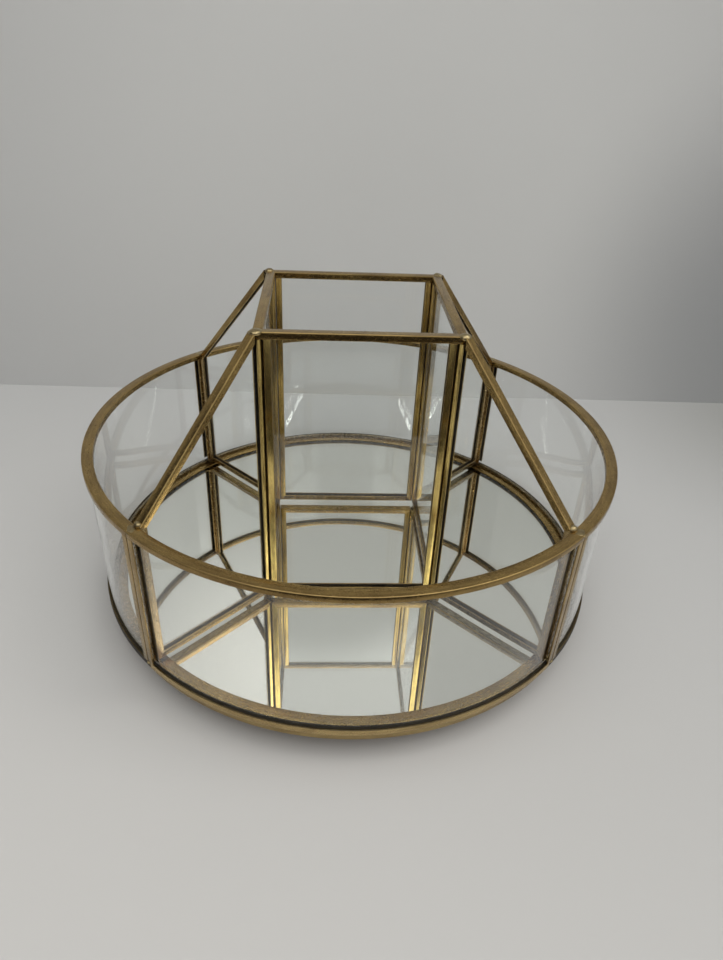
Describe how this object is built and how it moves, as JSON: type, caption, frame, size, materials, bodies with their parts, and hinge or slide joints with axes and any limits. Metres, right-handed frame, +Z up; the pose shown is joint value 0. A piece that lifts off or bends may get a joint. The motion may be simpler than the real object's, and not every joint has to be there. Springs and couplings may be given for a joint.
{
  "type": "rotating jewelry organizer",
  "caption": "Open-topped round organizer with curved glass walls in brass channels, glass partitions round a square tower, a mirror floor and a turntable base.",
  "frame": {"origin": "on the table under the middle of the drum", "axes": "+Z up, the turning axis; the front compartment faces -Y"},
  "size_m": [0.27, 0.27, 0.164],
  "materials": {
    "antique_brass": "folded brass sheet with a brown antique finish and soldered joints",
    "clear_glass": "clear polished sheet glass with green edges",
    "floor_glass": "clear glass of the mirror",
    "silvering": "silver coat on the back of the glass",
    "fibre_board": "smooth dense fibre board",
    "base_board": "fibre board painted matt black",
    "race_steel": "zinc-plated steel",
    "ball_steel": "polished bearing steel",
    "fastener_steel": "zinc-plated steel",
    "nylon": "natural nylon",
    "rubber": "black rubber"
  },
  "bodies": {
    "base": {"base_disc": "base_board", "rubber_feet": "rubber", "lower_race": "race_steel", "lower_race_screws": "fastener_steel", "centre_bolt": "fastener_steel", "centre_washer": "fastener_steel", "centre_nut": "fastener_steel"},
    "ball_cage_body": {"ball_cage": "nylon", "bearing_balls": "ball_steel"},
    "drum": {"wall_glass_front": "clear_glass", "wall_rim_front": "antique_brass", "wall_sill_front": "antique_brass", "tower_glass_front": "clear_glass", "tower_top_strip_front": "antique_brass", "tower_foot_strip_front": "antique_brass", "wall_glass_right": "clear_glass", "wall_rim_right": "antique_brass", "wall_sill_right": "antique_brass", "tower_glass_right": "clear_glass", "tower_top_strip_right": "antique_brass", "tower_foot_strip_right": "antique_brass", "wall_glass_back": "clear_glass", "wall_rim_back": "antique_brass", "wall_sill_back": "antique_brass", "tower_glass_back": "clear_glass", "tower_top_strip_back": "antique_brass", "tower_foot_strip_back": "antique_brass", "wall_glass_left": "clear_glass", "wall_rim_left": "antique_brass", "wall_sill_left": "antique_brass", "tower_glass_left": "clear_glass", "tower_top_strip_left": "antique_brass", "tower_foot_strip_left": "antique_brass", "partition_glass_front_right": "clear_glass", "partition_bar_front_right": "antique_brass", "partition_foot_front_right": "antique_brass", "tower_post_front_right": "antique_brass", "rim_post_front_right": "antique_brass", "partition_glass_back_right": "clear_glass", "partition_bar_back_right": "antique_brass", "partition_foot_back_right": "antique_brass", "tower_post_back_right": "antique_brass", "rim_post_back_right": "antique_brass", "partition_glass_back_left": "clear_glass", "partition_bar_back_left": "antique_brass", "partition_foot_back_left": "antique_brass", "tower_post_back_left": "antique_brass", "rim_post_back_left": "antique_brass", "partition_glass_front_left": "clear_glass", "partition_bar_front_left": "antique_brass", "partition_foot_front_left": "antique_brass", "tower_post_front_left": "antique_brass", "rim_post_front_left": "antique_brass", "mirror_glass": "floor_glass", "mirror_silver": "silvering", "backing_board": "fibre_board", "edge_ring": "antique_brass", "mirror_ring": "antique_brass", "upper_race": "race_steel", "upper_race_screws": "fastener_steel", "centre_bush": "nylon"}
  },
  "joints": [
    {"name": "turntable_spin", "type": "hinge", "parent": "base", "child": "drum", "pos_m": [0, 0, 0.0089], "axis": [0, 0, 1], "continuous": true},
    {"name": "cage_spin", "type": "hinge", "parent": "base", "child": "ball_cage_body", "pos_m": [0, 0, 0.0089], "axis": [0, 0, 1], "continuous": true}
  ],
  "couplings": [
    {"joint": "cage_spin", "follows": "turntable_spin", "ratio": 0.5}
  ]
}
